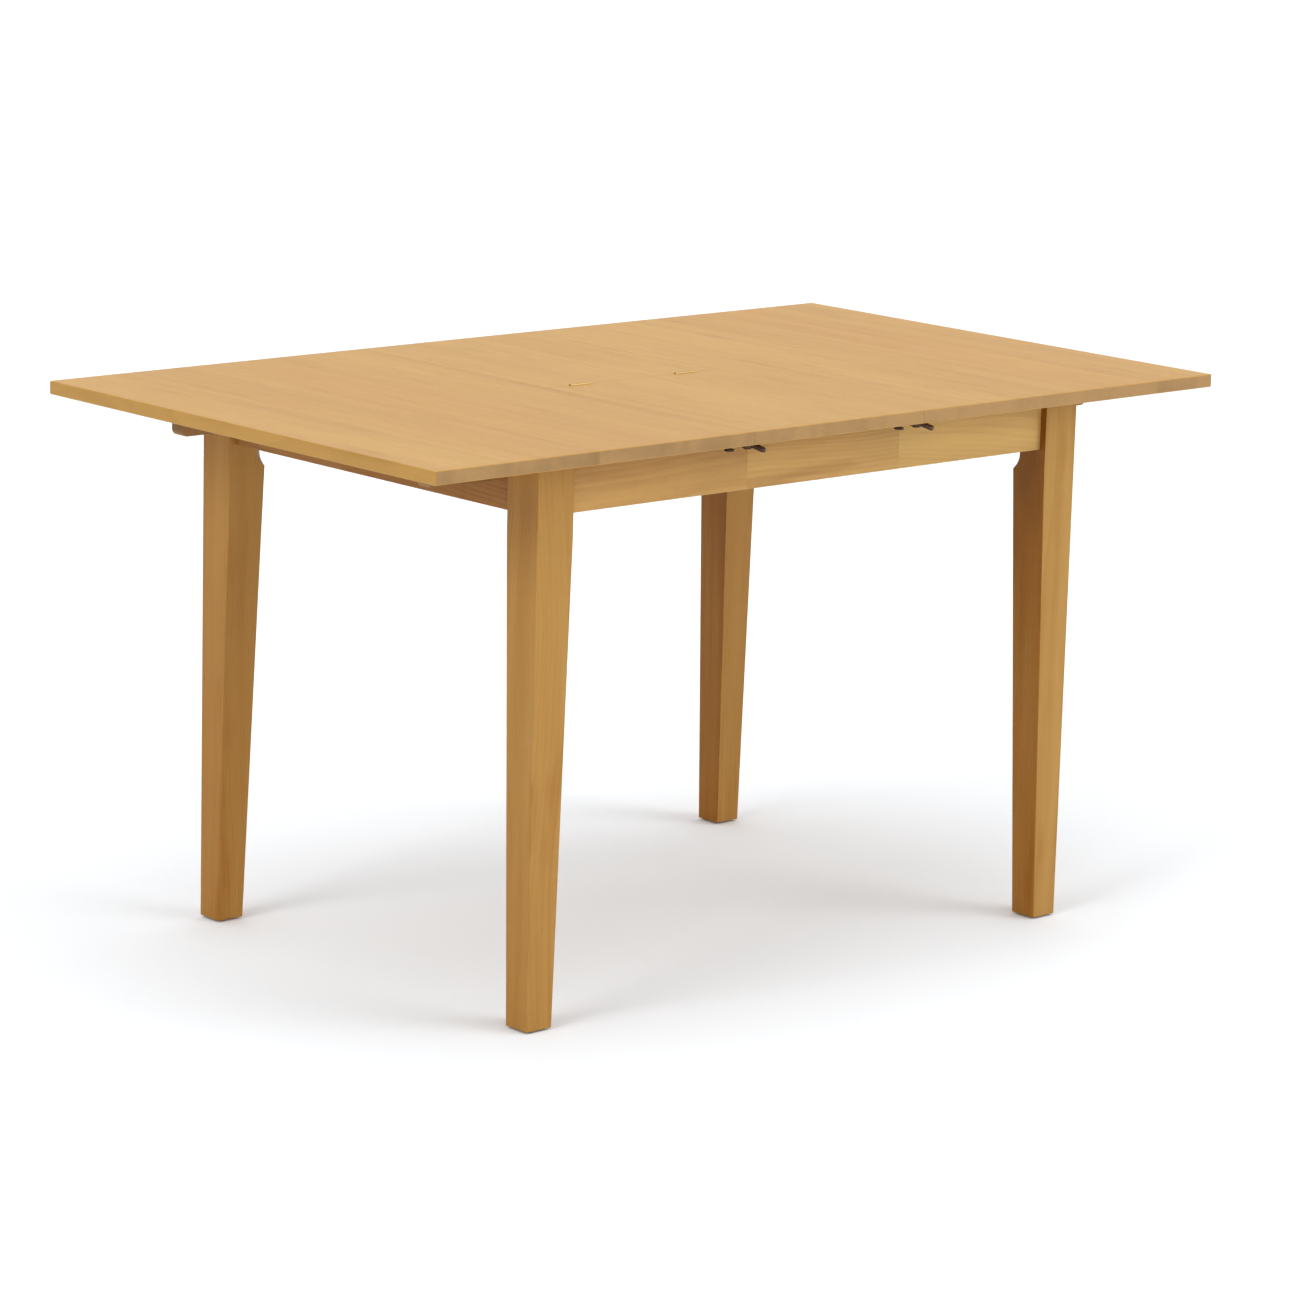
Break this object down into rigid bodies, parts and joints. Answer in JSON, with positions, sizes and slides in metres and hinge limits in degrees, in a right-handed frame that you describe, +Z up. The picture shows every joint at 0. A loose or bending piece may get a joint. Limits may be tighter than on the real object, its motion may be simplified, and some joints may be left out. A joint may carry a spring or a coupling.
{
  "type": "butterfly leaf table",
  "caption": "Rectangular extending dining table on square tapered legs, with a butterfly leaf that folds down on a pivot between two sliding top halves.",
  "frame": {"origin": "on the floor under the middle of the top, leaf in", "axes": "+X along the table to the right half, +Y across it to the back, +Z up"},
  "size_m": [1.4, 0.815, 0.7642],
  "materials": {
    "top_wood": "satin lacquer, honey coloured",
    "frame_wood": "satin lacquer, honey brown",
    "inner_wood": "plain sanded hardwood",
    "dark_bronze": "dark bronze lacquer",
    "zinc_steel": "bright zinc plating",
    "brass": "satin",
    "glide_plastic": "matt",
    "felt": "felt"
  },
  "bodies": {
    "frame": {"apron_back": "frame_wood", "apron_front": "frame_wood", "apron_left": "frame_wood", "apron_right": "frame_wood", "bracket_screws": "zinc_steel", "corner_brackets": "zinc_steel", "cross_rail_left": "inner_wood", "cross_rail_right": "inner_wood", "foot_glides": "glide_plastic", "guide_rail_back": "inner_wood", "guide_rail_front": "inner_wood", "hanger_bolts": "zinc_steel", "hanger_nuts": "zinc_steel", "leaf_rest_left": "inner_wood", "leaf_rest_right": "inner_wood", "leg_back_left": "frame_wood", "leg_back_right": "frame_wood", "leg_front_left": "frame_wood", "leg_front_right": "frame_wood", "pivot_plate_left": "zinc_steel", "pivot_plate_right": "zinc_steel", "pivot_plate_screws": "zinc_steel", "slide_pads": "felt"},
    "left_half": {"top_left": "top_wood", "runner_left_front": "inner_wood", "runner_left_back": "inner_wood", "runner_screws_left": "zinc_steel", "stop_pegs_left": "inner_wood", "lock_keeper_front_left": "dark_bronze", "lock_keeper_back_left": "dark_bronze", "lock_screws_top_left": "dark_bronze"},
    "right_half": {"top_right": "top_wood", "runner_right_front": "inner_wood", "runner_right_back": "inner_wood", "runner_screws_right": "zinc_steel", "stop_pegs_right": "inner_wood", "lock_base_front_right": "dark_bronze", "lock_base_back_right": "dark_bronze", "lock_screws_top_right": "dark_bronze"},
    "front_leaf": {"leaf_front": "top_wood", "leaf_hinges_front": "brass", "leaf_hinge_pins": "brass", "pivot_arm_left": "zinc_steel", "pivot_arm_right": "zinc_steel", "pivot_arm_screws": "zinc_steel", "lock_base_front_left": "dark_bronze", "lock_keeper_front_right": "dark_bronze", "lock_screws_leaf_front": "dark_bronze"},
    "back_leaf": {"leaf_back": "top_wood", "leaf_hinges_back": "brass", "lock_base_back_left": "dark_bronze", "lock_keeper_back_right": "dark_bronze", "lock_screws_leaf_back": "dark_bronze"},
    "lever_front_left": {"lock_lever_front_left": "dark_bronze"},
    "lever_back_left": {"lock_lever_back_left": "dark_bronze"},
    "lever_front_right": {"lock_lever_front_right": "dark_bronze"},
    "lever_back_right": {"lock_lever_back_right": "dark_bronze"}
  },
  "joints": [
    {"name": "left_half_slide", "type": "slide", "parent": "frame", "child": "left_half", "axis": [-1, 0, 0], "range_m": [0, 0.04]},
    {"name": "right_half_slide", "type": "slide", "parent": "frame", "child": "right_half", "axis": [1, 0, 0], "range_m": [0, 0.04]},
    {"name": "leaf_raise", "type": "hinge", "parent": "frame", "child": "front_leaf", "pos_m": [-0.02, -0.102, 0.73], "axis": [-1, 0, 0], "range_deg": [0, 90]},
    {"name": "leaf_fold", "type": "hinge", "parent": "front_leaf", "child": "back_leaf", "pos_m": [-0.02, 0, 0.76225], "axis": [1, 0, 0], "range_deg": [0, 180]},
    {"name": "lock_front_left", "type": "hinge", "parent": "front_leaf", "child": "lever_front_left", "pos_m": [-0.1615, -0.3825, 0.74], "axis": [0, 0, 1], "range_deg": [0, 95]},
    {"name": "lock_front_right", "type": "hinge", "parent": "right_half", "child": "lever_front_right", "pos_m": [0.1435, -0.3825, 0.74], "axis": [0, 0, 1], "range_deg": [0, 95]},
    {"name": "lock_back_left", "type": "hinge", "parent": "back_leaf", "child": "lever_back_left", "pos_m": [-0.1615, 0.3825, 0.74], "axis": [0, 0, -1], "range_deg": [0, 95]},
    {"name": "lock_back_right", "type": "hinge", "parent": "right_half", "child": "lever_back_right", "pos_m": [0.1435, 0.3825, 0.74], "axis": [0, 0, -1], "range_deg": [0, 95]}
  ],
  "couplings": [
    {"joint": "leaf_fold", "follows": "leaf_raise", "ratio": 2}
  ]
}
